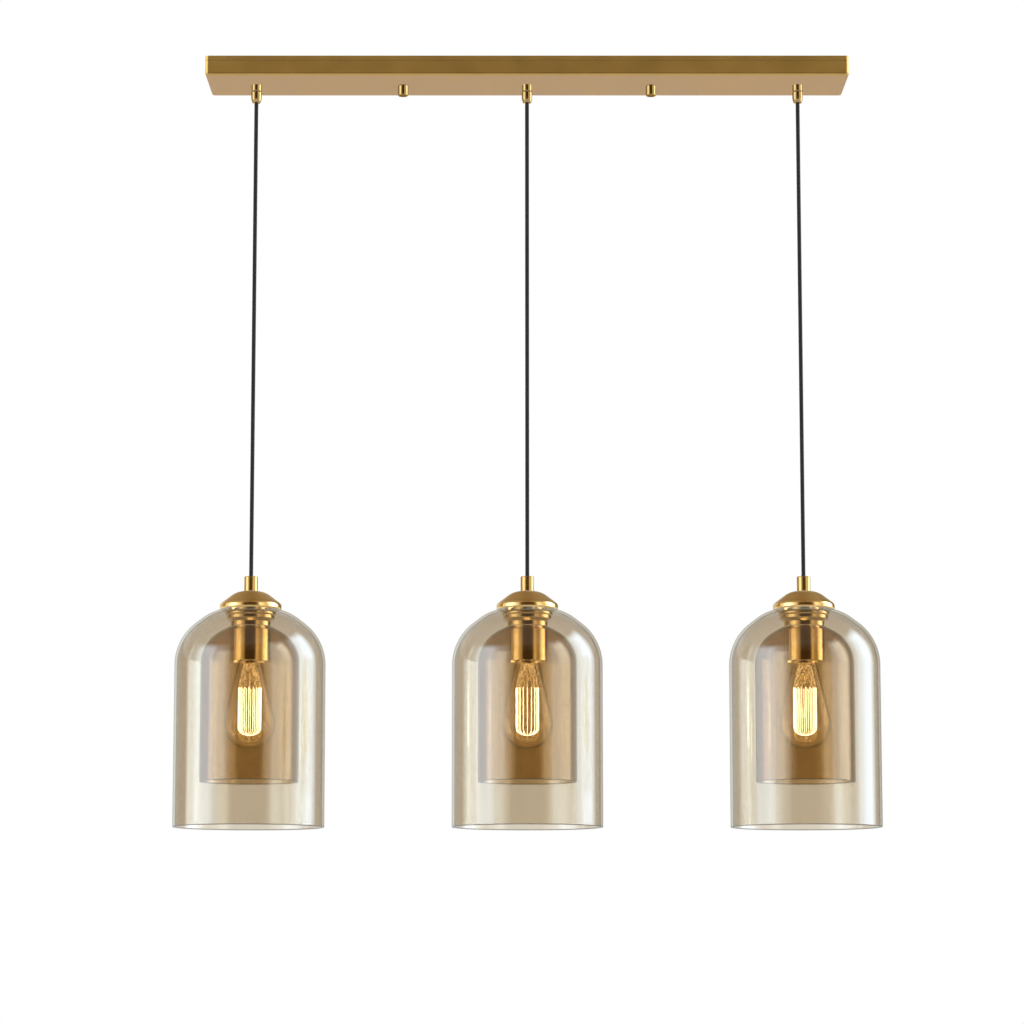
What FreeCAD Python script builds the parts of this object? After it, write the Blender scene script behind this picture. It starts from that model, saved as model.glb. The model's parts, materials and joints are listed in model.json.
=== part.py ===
"""Linear island pendant: a brass canopy with three double-glass pendants on cords.

Millimetres, +Z up. The origin is the middle of the mounting bar's upper face, which
lies on the ceiling. The row of pendants runs along X and hangs below the origin.
Each pendant is drawn on the Z axis and then moved to its place in the row.
"""
import FreeCAD, Part
import math
import os

Vector = FreeCAD.Vector

# Row of pendants
PENDANT_COUNT = 3
PENDANT_SPACING = 345.0

# Clearances
THREAD_CLEARANCE = 0.05
HOLE_CLEARANCE = 0.15
CORD_CLEARANCE = 0.4
SEAT_CLEARANCE = 0.1
SPIN_CLEARANCE = 0.3

# Canopy tray
CANOPY_LENGTH = 812.0
CANOPY_DEPTH = 100.0
CANOPY_HEIGHT = 25.0
CANOPY_WALL = 1.2
CANOPY_CORNER_RADIUS = 4.0
CANOPY_EDGE_RADIUS = 2.2
CANOPY_LINE_DEPTH = 0.4
CANOPY_LINE_HEIGHT = 0.9
CANOPY_LINE_BELOW_CEILING = 5.4

# Mounting bar, its studs and the nuts on them
BAR_LENGTH = 340.0
BAR_WIDTH = 25.0
BAR_THICKNESS = 2.0
BAR_CORNER_RADIUS = 4.0
BAR_CENTRE_HOLE_RADIUS = 5.25
BOX_SLOT_SPACING = 79.4
BOX_SLOT_LENGTH = 20.0
BOX_SLOT_WIDTH = 4.6
STUD_FROM_BAR_END = 12.0
STUD_RADIUS = 2.0
STUD_REACH_BELOW_CANOPY = 11.0
STUD_NUT_FLATS = 7.0
STUD_NUT_HEIGHT = 3.2
CAP_NUT_RADIUS = 6.4
CAP_NUT_HEIGHT = 14.0
CAP_NUT_EDGE_RADIUS = 1.6
CAP_NUT_SPARE_DEPTH = 1.0
GROUND_SCREW_X = 17.0
GROUND_SCREW_RADIUS = 2.0
GROUND_HEAD_FLATS = 7.5
GROUND_HEAD_HEIGHT = 2.6

# Cord grip
CORD_RADIUS = 2.5
STEM_RADIUS = 4.95
STEM_HEIGHT_IN_CANOPY = 6.8
STEM_BORE_RADIUS = 3.0
LOCK_NUT_FLATS = 14.0
LOCK_NUT_HEIGHT = 3.0
GRIP_BODY_RADIUS = 6.3
GRIP_BODY_HEIGHT = 8.4
GRIP_GROOVE = 0.3
GRIP_SPIGOT_HEIGHT = 5.0
GRIP_CAP_RADIUS = 6.6
GRIP_CAP_HEIGHT = 14.3
GRIP_CAP_EDGE_RADIUS = 1.2
GRIP_CAP_NOSE_RADIUS = 4.8
GRIP_CAP_NOSE_HEIGHT = 7.0
BUSHING_RADIUS = 4.6
BUSHING_HALF_HEIGHT = 2.6
BUSHING_WAIST_CLEARANCE = 0.2
CORD_TILT_DEG = 15.0
PIVOT_ABOVE_MOUTH = 3.7
GRIP_MOUTH_RADIUS = 4.0

# Leads inside the canopy and the block that they end in
LEAD_RADIUS = 1.0
LEAD_PITCH = 2.2
LEAD_FOOT_GAP = 1.0
LEAD_RUN_BELOW_CEILING = 13.0
LEAD_RISE_BEND_RADIUS = 6.0
LEAD_SIDE_BEND_RADIUS = 18.0
LEAD_SIDESTEP = 40.0
LEAD_OUTER_Y = 9.0
LEAD_INNER_Y = 6.6
BLOCK_LENGTH = 40.0
BLOCK_WIDTH = 28.0
BLOCK_HEIGHT = 15.4
BLOCK_START_X = 55.0
BLOCK_ENTRY_RADIUS = 2.7
BLOCK_ENTRY_DEPTH = 9.0
LEAD_IN_BLOCK = 6.0
BLOCK_SCREW_RADIUS = 2.4
BLOCK_SCREW_DEPTH = 2.5

# Cord and neck
CORD_DROP = 608.0
CORD_END_IN_NECK = 5.5
NECK_RADIUS = 8.4
NECK_HEIGHT = 18.2
NECK_TOP_WALL = 3.0
NECK_EDGE_RADIUS = 1.0
TUBE_RADIUS = 5.0
TUBE_BORE_RADIUS = 3.2
TUBE_IN_NECK = 9.0

# Domed cap over the glass
CAP_RADIUS = 38.3
CAP_CROWN_RADIUS = 18.2
CAP_CROWN_FALL = 1.0
CAP_CROWN_ROUND = 28.0
CAP_CONE_SLOPE = 0.76
CAP_RIM_ROUND = 5.0
CAP_RIM_BAND = 5.1
CAP_LIP_WIDTH = 0.8
CAP_LIP_FALL = 1.5
CAP_LIP_ROUND = 2.0
CAP_SEAT_RISE = 1.6
CAP_SEAT_OUTER_RADIUS = 34.6
CAP_SEAT_INNER_RADIUS = 27.5
CAP_WALL = 2.4
CAP_HUB_RADIUS = 11.0

# Glass bells
GASKET = 0.8
OUTER_GLASS_RADIUS = 93.7
OUTER_GLASS_HEIGHT = 271.5
OUTER_GLASS_WALL = 3.0
OUTER_NECK_RADIUS = 21.0
OUTER_LAND_RADIUS = 34.4
OUTER_LAND_ROUND = 8.0
OUTER_CROWN_RADIUS = 52.4
OUTER_CROWN_FALL = 6.5
OUTER_CROWN_ROUND = 60.0
OUTER_SHOULDER_FALL = 38.3
OUTER_SHOULDER_ROUND = 65.0
INNER_GLASS_RADIUS = 61.3
INNER_GLASS_HEIGHT = 192.7
INNER_GLASS_WALL = 2.2
INNER_NECK_RADIUS = 22.0
INNER_LAND_RADIUS = 26.6
INNER_LAND_ROUND = 4.0
INNER_SHOULDER_FALL = 18.4
INNER_SHOULDER_ROUND = 46.0
GASKET_WIDTH = 5.0
GASKET_INSET = 1.0

# Stepped collar between the two glasses
COLLAR_RING_RADIUS = 31.5
COLLAR_RING_HEIGHT = 4.8
COLLAR_RING_ROUND = 1.8
COLLAR_STEP_RADIUS = 29.6
COLLAR_STEP_HEIGHT = 4.4
COLLAR_STEP_ROUND = 2.0
COLLAR_TAPER_HEIGHT = 3.4
COLLAR_SPIGOT_HEIGHT = 5.6
COLLAR_RELIEF_RADIUS = 18.0
COLLAR_RELIEF_DEPTH = 14.0

# Socket cup and the lamp holder in it
CUP_RADIUS = 25.0
CUP_HEIGHT = 40.0
CUP_WALL = 1.2
CUP_TOP_WALL = 2.0
CUP_EDGE_RADIUS = 0.5
HOLDER_RADIUS = 21.5
HOLDER_TOP_WALL = 4.0
HOLDER_NUT_ROOM = 4.0
HOLDER_NUT_ROOM_RADIUS = 9.5
SHELL_RADIUS = 13.95
SHELL_WALL = 0.5
SHELL_LENGTH = 24.0
LEAF_WIDTH = 6.0
LEAF_THICKNESS = 0.6

# Bulb
BULB_LENGTH = 138.0
BULB_RADIUS = 32.0
BULB_NECK_RADIUS = 14.0
BULB_NECK_ROUND = 14.0
BULB_CONE_DEG = 13.8
BULB_WALL = 0.8
BASE_LENGTH = 26.8
CONTACT_RADIUS = 4.6
CONTACT_HEIGHT = 1.2
BASE_TIP_RADIUS = 8.5
BASE_TIP_HEIGHT = 3.4
THREAD_PITCH = 3.629
THREAD_TURNS = 5
THREAD_CREST_RADIUS = 13.05
THREAD_DEPTH = 0.7
BASE_WALL = 0.9
GLASS_IN_BASE = 5.0
STEM_FLARE_RADIUS = 8.0
STEM_POST_RADIUS = 3.2
STEM_LENGTH = 34.0
CAGE_RADIUS = 14.2
CAGE_STRANDS = 10
CAGE_HEIGHT = 52.0
CAGE_ABOVE_TIP = 24.0
STRAND_RADIUS = 0.45
ARM_INSET = 2.0

# Heights worked out from the sizes above, from the ceiling down
canopy_floor = -CANOPY_HEIGHT
canopy_inside = canopy_floor + CANOPY_WALL
stem_top = canopy_inside + STEM_HEIGHT_IN_CANOPY
grip_body_bottom = canopy_floor - GRIP_BODY_HEIGHT
grip_cap_top = grip_body_bottom - GRIP_GROOVE
grip_mouth = grip_cap_top - GRIP_CAP_HEIGHT
pivot = grip_mouth + PIVOT_ABOVE_MOUTH
cord_top = pivot + BUSHING_HALF_HEIGHT - SEAT_CLEARANCE
lead_run = -LEAD_RUN_BELOW_CEILING
neck_top = grip_mouth - CORD_DROP
neck_bottom = neck_top - NECK_HEIGHT
cord_bottom = neck_top - CORD_END_IN_NECK
cap_top = neck_bottom - SPIN_CLEARANCE
cap_cone_foot = cap_top - CAP_CROWN_FALL - CAP_CONE_SLOPE * (CAP_RADIUS - CAP_CROWN_RADIUS)
cap_bottom = cap_cone_foot - CAP_RIM_BAND - CAP_LIP_FALL
cap_seat = cap_bottom + CAP_SEAT_RISE
outer_top = cap_seat - GASKET
outer_rim = outer_top - OUTER_GLASS_HEIGHT
collar_top = outer_top - OUTER_GLASS_WALL - GASKET
collar_step = collar_top - COLLAR_RING_HEIGHT
collar_taper = collar_step - COLLAR_STEP_HEIGHT
collar_spigot = collar_taper - COLLAR_TAPER_HEIGHT
collar_bottom = collar_spigot - COLLAR_SPIGOT_HEIGHT
inner_top = collar_bottom - GASKET
inner_rim = inner_top - INNER_GLASS_HEIGHT
cup_top = inner_top - INNER_GLASS_WALL - GASKET
cup_bottom = cup_top - CUP_HEIGHT
holder_top = cup_top - CUP_TOP_WALL
tube_nut_top = holder_top - HOLDER_TOP_WALL
tube_bottom = tube_nut_top - LOCK_NUT_HEIGHT - THREAD_CLEARANCE
leaf_top = tube_nut_top - HOLDER_NUT_ROOM
leaf_bottom = leaf_top - LEAF_THICKNESS
shell_top = leaf_bottom - SEAT_CLEARANCE
bulb_top = leaf_bottom - SEAT_CLEARANCE
bulb_tip = bulb_top - BULB_LENGTH
base_top = bulb_top - CONTACT_HEIGHT
thread_top = base_top - BASE_TIP_HEIGHT
base_bottom = bulb_top - BASE_LENGTH
holder_bottom = base_bottom + SPIN_CLEARANCE
bulb_centre = bulb_tip + BULB_RADIUS
tube_hole = TUBE_RADIUS + THREAD_CLEARANCE


def corner_arc(before, corner, after, radius):
    """The two tangent points and the middle point of an arc that rounds a corner."""
    towards_before = (before - corner).normalize()
    towards_after = (after - corner).normalize()
    half = towards_before.getAngle(towards_after) / 2
    reach = radius / math.tan(half)
    bisector = (towards_before + towards_after).normalize()
    centre = corner + bisector * (radius / math.sin(half))
    start = corner + towards_before * reach
    end = corner + towards_after * reach
    middle = centre - bisector * radius
    return start, middle, end


def rounded_path(corners, closed):
    """Edges through (point, radius) corners: straight runs joined by tangent arcs."""
    points = [point for point, _ in corners]
    count = len(points)
    arcs = []
    for index, (point, radius) in enumerate(corners):
        inside = closed or 0 < index < count - 1
        if radius > 0 and inside:
            before, after = points[index - 1], points[(index + 1) % count]
            arcs.append(corner_arc(before, point, after, radius))
        else:
            arcs.append((point, None, point))
    edges = []
    for index, (start, middle, end) in enumerate(arcs):
        if middle is not None:
            edges.append(Part.Arc(start, middle, end).toShape())
        if closed or index < count - 1:
            following = arcs[(index + 1) % count][0]
            if end.distanceToPoint(following) > 1e-6:
                edges.append(Part.LineSegment(end, following).toShape())
    return edges


def turned(outline):
    """A solid of revolution about Z from (radius, height, rounding) corners of its section."""
    corners = [(Vector(r, 0, z), rounding) for r, z, rounding in outline]
    face = Part.Face(Part.Wire(rounded_path(corners, closed=True)))
    return face.revolve(Vector(0, 0, 0), Vector(0, 0, 1), 360)


def shell_section(outline, wall):
    """The closed section of a wall of even thickness that lies inside an open outline.

    The outline runs from the crown outwards and down, and the wall lies below and inside it.
    """
    points = [Vector(r, 0, z) for r, z, _ in outline]
    last = len(points) - 1
    runs = [(points[i + 1] - points[i]).normalize() for i in range(last)]
    inward = [Vector(run.z, 0, -run.x) for run in runs]
    inner = []
    for index, point in enumerate(points):
        first, second = inward[max(index - 1, 0)], inward[min(index, last - 1)]
        shift = (first + second) * (wall / (1 + first.dot(second)))
        rounding = outline[index][2]
        inner.append((point.x + shift.x, point.z + shift.z, max(rounding - wall, 0)))
    return list(outline) + inner[::-1]


def cylinder(radius, top, bottom, x=0.0, y=0.0):
    return Part.makeCylinder(radius, top - bottom, Vector(x, y, bottom))


def ring(outer_radius, inner_radius, top, bottom):
    return cylinder(outer_radius, top, bottom).cut(cylinder(inner_radius, top, bottom))


def hex_nut(flats, bore_radius, top, bottom):
    """A nut with chamfered corners."""
    corner_radius = flats / math.sqrt(3)
    corners = []
    for step in range(6):
        turn = step * math.pi / 3
        corners.append(Vector(corner_radius * math.cos(turn), corner_radius * math.sin(turn), bottom))
    prism = Part.Face(Part.makePolygon(corners + corners[:1])).extrude(Vector(0, 0, top - bottom))
    chamfer = corner_radius - flats / 2
    envelope = turned([
        (0, top, 0),
        (flats / 2, top, 0),
        (corner_radius, top - chamfer, 0),
        (corner_radius, bottom + chamfer, 0),
        (flats / 2, bottom, 0),
        (0, bottom, 0),
    ])
    return prism.common(envelope).cut(cylinder(bore_radius, top, bottom))


def rounded_plate(length, width, radius, top, bottom):
    """An upright prism on a rounded rectangle that is centred on Z."""
    x, y = length / 2, width / 2
    corners = [(Vector(a * x, b * y, bottom), radius) for a, b in ((1, 1), (-1, 1), (-1, -1), (1, -1))]
    face = Part.Face(Part.Wire(rounded_path(corners, closed=True)))
    return face.extrude(Vector(0, 0, top - bottom))


def with_round_floor(solid, floor, radius):
    """Rounds the edges round the lowest face of a prism."""
    edges = [edge for edge in solid.Edges if abs(edge.BoundBox.ZMax - floor) < 1e-6]
    return solid.makeFillet(radius, edges)


def group(shapes):
    return Part.makeCompound(shapes)


def at(shape, x, y=0.0, z=0.0):
    return shape.translated(Vector(x, y, z))


def row_places():
    middle = (PENDANT_COUNT - 1) / 2
    return [(index - middle) * PENDANT_SPACING for index in range(PENDANT_COUNT)]


def stud_places():
    reach = BAR_LENGTH / 2 - STUD_FROM_BAR_END
    return [-reach, reach]


# Canopy assembly


def canopy_shell():
    outside = rounded_plate(CANOPY_LENGTH, CANOPY_DEPTH, CANOPY_CORNER_RADIUS, 0, canopy_floor)
    outside = with_round_floor(outside, canopy_floor, CANOPY_EDGE_RADIUS)
    inside = rounded_plate(
        CANOPY_LENGTH - 2 * CANOPY_WALL,
        CANOPY_DEPTH - 2 * CANOPY_WALL,
        CANOPY_CORNER_RADIUS - CANOPY_WALL,
        0,
        canopy_inside,
    )
    inside = with_round_floor(inside, canopy_inside, CANOPY_EDGE_RADIUS - CANOPY_WALL)
    holes = [cylinder(STEM_RADIUS + HOLE_CLEARANCE, canopy_inside, canopy_floor, x) for x in row_places()]
    holes += [cylinder(STUD_RADIUS + HOLE_CLEARANCE, canopy_inside, canopy_floor, x) for x in stud_places()]
    return outside.cut(inside).cut(group(holes)).cut(canopy_line())


def canopy_line():
    """The thin groove rolled round the tray's sides."""
    top = -CANOPY_LINE_BELOW_CEILING
    bottom = top - CANOPY_LINE_HEIGHT
    outside = rounded_plate(CANOPY_LENGTH, CANOPY_DEPTH, CANOPY_CORNER_RADIUS, top, bottom)
    core = rounded_plate(
        CANOPY_LENGTH - 2 * CANOPY_LINE_DEPTH,
        CANOPY_DEPTH - 2 * CANOPY_LINE_DEPTH,
        CANOPY_CORNER_RADIUS - CANOPY_LINE_DEPTH,
        top,
        bottom,
    )
    return outside.cut(core)


def box_slot(x):
    straight = BOX_SLOT_LENGTH - BOX_SLOT_WIDTH
    ends = [cylinder(BOX_SLOT_WIDTH / 2, 0, -BAR_THICKNESS, x + side * straight / 2) for side in (-1, 1)]
    corner = Vector(x - straight / 2, -BOX_SLOT_WIDTH / 2, -BAR_THICKNESS)
    return Part.makeBox(straight, BOX_SLOT_WIDTH, BAR_THICKNESS, corner).multiFuse(ends)


def mounting_bar():
    bar = rounded_plate(BAR_LENGTH, BAR_WIDTH, BAR_CORNER_RADIUS, 0, -BAR_THICKNESS)
    cuts = [cylinder(BAR_CENTRE_HOLE_RADIUS, 0, -BAR_THICKNESS)]
    cuts += [box_slot(side * BOX_SLOT_SPACING / 2) for side in (-1, 1)]
    cuts += [cylinder(STUD_RADIUS + THREAD_CLEARANCE, 0, -BAR_THICKNESS, x) for x in stud_places()]
    cuts.append(cylinder(GROUND_SCREW_RADIUS + THREAD_CLEARANCE, 0, -BAR_THICKNESS, GROUND_SCREW_X))
    return bar.cut(group(cuts))


def mounting_studs():
    return group([cylinder(STUD_RADIUS, 0, canopy_floor - STUD_REACH_BELOW_CANOPY, x) for x in stud_places()])


def stud_nuts():
    top = -BAR_THICKNESS
    nut = hex_nut(STUD_NUT_FLATS, STUD_RADIUS + THREAD_CLEARANCE, top, top - STUD_NUT_HEIGHT)
    return group([at(nut, x) for x in stud_places()])


def ground_screw():
    under_bar = -BAR_THICKNESS
    head_bottom = under_bar - GROUND_HEAD_HEIGHT
    head = hex_nut(GROUND_HEAD_FLATS, GROUND_SCREW_RADIUS, under_bar, head_bottom)
    shank = cylinder(GROUND_SCREW_RADIUS, 0, head_bottom)
    return at(head.fuse(shank), GROUND_SCREW_X)


def canopy_cap_nuts():
    bottom = canopy_floor - CAP_NUT_HEIGHT
    bore_radius = STUD_RADIUS + THREAD_CLEARANCE
    bore_end = canopy_floor - STUD_REACH_BELOW_CANOPY - CAP_NUT_SPARE_DEPTH
    nut = turned([
        (bore_radius, canopy_floor, 0),
        (CAP_NUT_RADIUS, canopy_floor, CAP_NUT_EDGE_RADIUS),
        (CAP_NUT_RADIUS, bottom, CAP_NUT_EDGE_RADIUS),
        (0, bottom, 0),
        (0, bore_end, 0),
        (bore_radius, bore_end, 0),
    ])
    return group([at(nut, x) for x in stud_places()])


def grip_bodies():
    spigot_radius = BUSHING_RADIUS + HOLE_CLEARANCE
    body = turned([
        (STEM_BORE_RADIUS, stem_top, 0),
        (STEM_RADIUS, stem_top, 0),
        (STEM_RADIUS, canopy_floor, 0),
        (GRIP_BODY_RADIUS, canopy_floor, 0),
        (GRIP_BODY_RADIUS, grip_body_bottom, GRIP_CAP_EDGE_RADIUS),
        (spigot_radius, grip_body_bottom, 0),
        (spigot_radius, grip_body_bottom - GRIP_SPIGOT_HEIGHT, 0),
        (STEM_BORE_RADIUS, grip_body_bottom - GRIP_SPIGOT_HEIGHT, 0),
    ])
    return group([at(body, x) for x in row_places()])


def grip_caps():
    """Bullet-shaped caps whose lower half is a spherical seat for the bushing."""
    seat_radius = BUSHING_RADIUS + HOLE_CLEARANCE + THREAD_CLEARANCE
    mouth_height = math.sqrt(seat_radius**2 - GRIP_MOUTH_RADIUS**2)
    seat_middle = math.radians(-20)
    nose_start = Vector(GRIP_CAP_RADIUS, 0, grip_mouth + GRIP_CAP_NOSE_HEIGHT)
    nose_end = Vector(GRIP_CAP_NOSE_RADIUS, 0, grip_mouth)
    inset = GRIP_CAP_RADIUS - GRIP_CAP_NOSE_RADIUS
    nose_arc_radius = (GRIP_CAP_NOSE_HEIGHT**2 + inset**2) / (2 * inset)
    half_turn = math.asin(GRIP_CAP_NOSE_HEIGHT / nose_arc_radius) / 2
    nose_middle = Vector(
        GRIP_CAP_RADIUS - nose_arc_radius * (1 - math.cos(half_turn)),
        0,
        nose_start.z - nose_arc_radius * math.sin(half_turn),
    )
    top_start, top_middle, top_end = corner_arc(
        Vector(seat_radius, 0, grip_cap_top),
        Vector(GRIP_CAP_RADIUS, 0, grip_cap_top),
        nose_start,
        GRIP_CAP_EDGE_RADIUS,
    )
    mouth_top = Vector(GRIP_MOUTH_RADIUS, 0, pivot - mouth_height)
    mouth_bottom = Vector(GRIP_MOUTH_RADIUS, 0, grip_mouth)
    seat_start = Vector(seat_radius, 0, pivot)
    seat_point = Vector(seat_radius * math.cos(seat_middle), 0, pivot + seat_radius * math.sin(seat_middle))
    inner_top_point = Vector(seat_radius, 0, grip_cap_top)
    edges = [
        Part.LineSegment(inner_top_point, top_start),
        Part.Arc(top_start, top_middle, top_end),
        Part.LineSegment(top_end, nose_start),
        Part.Arc(nose_start, nose_middle, nose_end),
        Part.LineSegment(nose_end, mouth_bottom),
        Part.LineSegment(mouth_bottom, mouth_top),
        Part.Arc(mouth_top, seat_point, seat_start),
        Part.LineSegment(seat_start, inner_top_point),
    ]
    face = Part.Face(Part.Wire([edge.toShape() for edge in edges]))
    cap = face.revolve(Vector(0, 0, 0), Vector(0, 0, 1), 360)
    return group([at(cap, x) for x in row_places()])


def grip_lock_nuts():
    bore = STEM_RADIUS + THREAD_CLEARANCE
    nut = hex_nut(LOCK_NUT_FLATS, bore, canopy_inside + LOCK_NUT_HEIGHT, canopy_inside)
    return group([at(nut, x) for x in row_places()])


def wire(corners):
    """A round conductor along (point, bend radius) corners."""
    path = Part.Wire(rounded_path(corners, closed=False))
    direction = corners[1][0] - corners[0][0]
    section = Part.Wire(Part.makeCircle(LEAD_RADIUS, corners[0][0], direction))
    return path.makePipeShell([section], True, False)


def leads(side):
    """One conductor from each grip to the block, on side -1 (live) or 1 (neutral)."""
    block_end = BLOCK_START_X + BLOCK_LENGTH
    foot = cord_top + LEAD_FOOT_GAP
    conductors = []
    for x in row_places():
        before_block = x < BLOCK_START_X
        heading = 1 if before_block else -1
        mouth = BLOCK_START_X + LEAD_IN_BLOCK if before_block else block_end - LEAD_IN_BLOCK
        beside_block = 0 <= x < BLOCK_START_X
        run_y = side * (LEAD_INNER_Y if beside_block else LEAD_OUTER_Y)
        stem_y = side * LEAD_PITCH / 2
        sidestep = min(LEAD_SIDESTEP, abs(mouth - x) / 2)
        conductors.append(wire([
            (Vector(x, stem_y, foot), 0),
            (Vector(x, stem_y, lead_run), LEAD_RISE_BEND_RADIUS),
            (Vector(x + heading * sidestep, run_y, lead_run), LEAD_SIDE_BEND_RADIUS),
            (Vector(mouth, run_y, lead_run), 0),
        ]))
    return group(conductors)


def terminal_block():
    corner = Vector(BLOCK_START_X, -BLOCK_WIDTH / 2, canopy_inside)
    block = Part.makeBox(BLOCK_LENGTH, BLOCK_WIDTH, BLOCK_HEIGHT, corner)
    entry_y = (LEAD_INNER_Y + LEAD_OUTER_Y) / 2
    top = canopy_inside + BLOCK_HEIGHT
    cuts = []
    for side in (-1, 1):
        for start in (BLOCK_START_X, BLOCK_START_X + BLOCK_LENGTH - BLOCK_ENTRY_DEPTH):
            place = Vector(start, side * entry_y, lead_run)
            cuts.append(Part.makeCylinder(BLOCK_ENTRY_RADIUS, BLOCK_ENTRY_DEPTH, place, Vector(1, 0, 0)))
        for quarter in (1, 3):
            screw_x = BLOCK_START_X + quarter * BLOCK_LENGTH / 4
            cuts.append(cylinder(BLOCK_SCREW_RADIUS, top, top - BLOCK_SCREW_DEPTH, screw_x, side * entry_y))
    return block.cut(group(cuts))


# One pendant, drawn on the Z axis


def grip_bushing():
    """A ball with flat ends and a waisted hole, so that the cord can tilt in it."""
    ball = Part.makeSphere(BUSHING_RADIUS, Vector(0, 0, pivot))
    top, bottom = pivot + BUSHING_HALF_HEIGHT, pivot - BUSHING_HALF_HEIGHT
    slab = cylinder(2 * BUSHING_RADIUS, top, bottom)
    waist = CORD_RADIUS + BUSHING_WAIST_CLEARANCE
    flare = BUSHING_HALF_HEIGHT * math.tan(math.radians(CORD_TILT_DEG))
    hole = turned([
        (0, top, 0),
        (waist + flare, top, 0),
        (waist, pivot, 0),
        (waist + flare, bottom, 0),
        (0, bottom, 0),
    ])
    return ball.common(slab).cut(hole)


def cord():
    return cylinder(CORD_RADIUS, cord_top, cord_bottom)


def neck_tube():
    cord_hole = CORD_RADIUS + CORD_CLEARANCE
    return turned([
        (cord_hole, neck_top, 0),
        (NECK_RADIUS, neck_top, NECK_EDGE_RADIUS),
        (NECK_RADIUS, neck_bottom, 0),
        (tube_hole, neck_bottom, 0),
        (tube_hole, neck_top - NECK_TOP_WALL, 0),
        (cord_hole, neck_top - NECK_TOP_WALL, 0),
    ])


def shade_cap():
    crown = cap_top - CAP_CROWN_FALL
    slope_angle = math.atan(CAP_CONE_SLOPE)
    wall_drop = CAP_WALL / math.cos(slope_angle)

    def underside(radius):
        return crown - CAP_CONE_SLOPE * max(radius - CAP_CROWN_RADIUS, 0) - wall_drop

    return turned([
        (tube_hole, cap_top, 0),
        (NECK_RADIUS, cap_top, 0),
        (CAP_CROWN_RADIUS, crown, CAP_CROWN_ROUND),
        (CAP_RADIUS, cap_cone_foot, CAP_RIM_ROUND),
        (CAP_RADIUS, cap_cone_foot - CAP_RIM_BAND, CAP_LIP_ROUND),
        (CAP_RADIUS - CAP_LIP_WIDTH, cap_bottom, 0),
        (CAP_SEAT_OUTER_RADIUS, cap_seat, 0),
        (CAP_SEAT_INNER_RADIUS, cap_seat, 0),
        (CAP_SEAT_INNER_RADIUS, underside(CAP_SEAT_INNER_RADIUS), 0),
        (CAP_CROWN_RADIUS, underside(CAP_CROWN_RADIUS), 0),
        (CAP_HUB_RADIUS, underside(CAP_HUB_RADIUS), 0),
        (CAP_HUB_RADIUS, cap_seat, 0),
        (tube_hole, cap_seat, 0),
    ])


def bell(neck_radius, crown, rim, wall):
    """A glass bell: a flat land round its neck, a crown and a straight wall.

    The crown is given as (radius, height, rounding) corners from the land outwards.
    """
    land_height = crown[0][1]
    radius = crown[-1][0]
    section = shell_section([(neck_radius, land_height, 0)] + crown + [(radius, rim, 0)], wall)
    rim_round = 0.4 * wall
    outer_corner = len(crown) + 1
    section[outer_corner] = (radius, rim, rim_round)
    section[outer_corner + 1] = (radius - wall, rim, rim_round)
    return turned(section)


def outer_glass():
    crown = [
        (OUTER_LAND_RADIUS, outer_top, OUTER_LAND_ROUND),
        (OUTER_CROWN_RADIUS, outer_top - OUTER_CROWN_FALL, OUTER_CROWN_ROUND),
        (OUTER_GLASS_RADIUS, outer_top - OUTER_SHOULDER_FALL, OUTER_SHOULDER_ROUND),
    ]
    return bell(OUTER_NECK_RADIUS, crown, outer_rim, OUTER_GLASS_WALL)


def inner_glass():
    crown = [
        (INNER_LAND_RADIUS, inner_top, INNER_LAND_ROUND),
        (INNER_GLASS_RADIUS, inner_top - INNER_SHOULDER_FALL, INNER_SHOULDER_ROUND),
    ]
    return bell(INNER_NECK_RADIUS, crown, inner_rim, INNER_GLASS_WALL)


def glass_gaskets():
    """Rings above and below the land of each glass."""
    wide = CAP_SEAT_OUTER_RADIUS - GASKET_INSET
    middle = COLLAR_RING_RADIUS - COLLAR_RING_ROUND
    narrow = CUP_RADIUS - CUP_EDGE_RADIUS
    inner_bore = INNER_NECK_RADIUS + HOLE_CLEARANCE
    return group([
        ring(wide, wide - GASKET_WIDTH, cap_seat, outer_top),
        ring(middle, middle - GASKET_WIDTH, collar_top + GASKET, collar_top),
        ring(narrow, inner_bore, collar_bottom, inner_top),
        ring(narrow, inner_bore, cup_top + GASKET, cup_top),
    ])


def glass_collar():
    boss_radius = OUTER_NECK_RADIUS - CORD_CLEARANCE
    return turned([
        (tube_hole, cap_seat - SEAT_CLEARANCE, 0),
        (boss_radius, cap_seat - SEAT_CLEARANCE, 0),
        (boss_radius, collar_top, 0),
        (COLLAR_RING_RADIUS, collar_top, COLLAR_RING_ROUND),
        (COLLAR_RING_RADIUS, collar_step, COLLAR_RING_ROUND),
        (COLLAR_STEP_RADIUS, collar_step, 0),
        (COLLAR_STEP_RADIUS, collar_taper, COLLAR_STEP_ROUND),
        (CUP_RADIUS, collar_spigot, 0),
        (CUP_RADIUS, collar_bottom, CUP_EDGE_RADIUS),
        (COLLAR_RELIEF_RADIUS, collar_bottom, 0),
        (COLLAR_RELIEF_RADIUS, collar_bottom + COLLAR_RELIEF_DEPTH, 0),
        (tube_hole, collar_bottom + COLLAR_RELIEF_DEPTH, 0),
    ])


def socket_cup():
    """A cup, open below, with a boss that centres the inner glass and meets the collar."""
    boss_radius = INNER_NECK_RADIUS - CORD_CLEARANCE
    boss_top = collar_bottom - SEAT_CLEARANCE
    bore = CUP_RADIUS - CUP_WALL
    return turned([
        (tube_hole, boss_top, 0),
        (boss_radius, boss_top, 0),
        (boss_radius, cup_top, 0),
        (CUP_RADIUS, cup_top, CUP_EDGE_RADIUS),
        (CUP_RADIUS, cup_bottom, CUP_EDGE_RADIUS),
        (bore, cup_bottom, CUP_EDGE_RADIUS),
        (bore, holder_top, 0),
        (tube_hole, holder_top, 0),
    ])


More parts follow.
